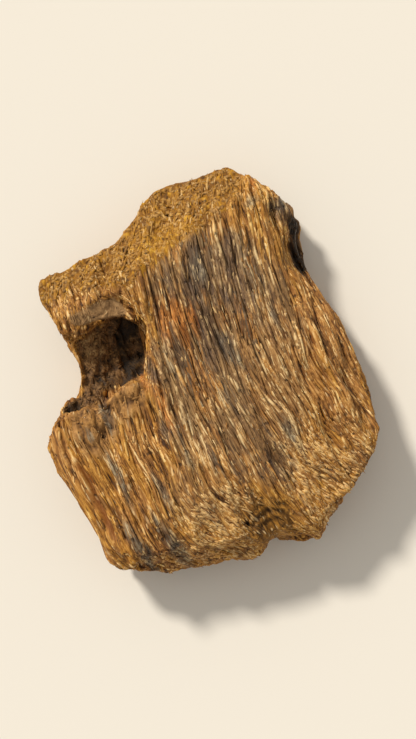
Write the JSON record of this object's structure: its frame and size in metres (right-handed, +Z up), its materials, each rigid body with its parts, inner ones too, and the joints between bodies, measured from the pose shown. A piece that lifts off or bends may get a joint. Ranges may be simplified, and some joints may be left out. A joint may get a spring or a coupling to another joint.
{
  "type": "agarwood chip",
  "caption": "Rough split chip of resinous agarwood with a rotted pocket, lying on its flat back.",
  "frame": {"origin": "centre of the bounding box at the level of the flat back that the chip lies on", "axes": "+Z up out of the split face, +Y along the chip's length towards its pale pared ledge, +X across it"},
  "size_m": [0.0522, 0.062, 0.0156],
  "materials": {
    "resinous_wood": "rough split grain, ochre and grey-brown, with dark resin"
  },
  "bodies": {
    "root": {"agarwood_piece": "resinous_wood"}
  },
  "joints": []
}
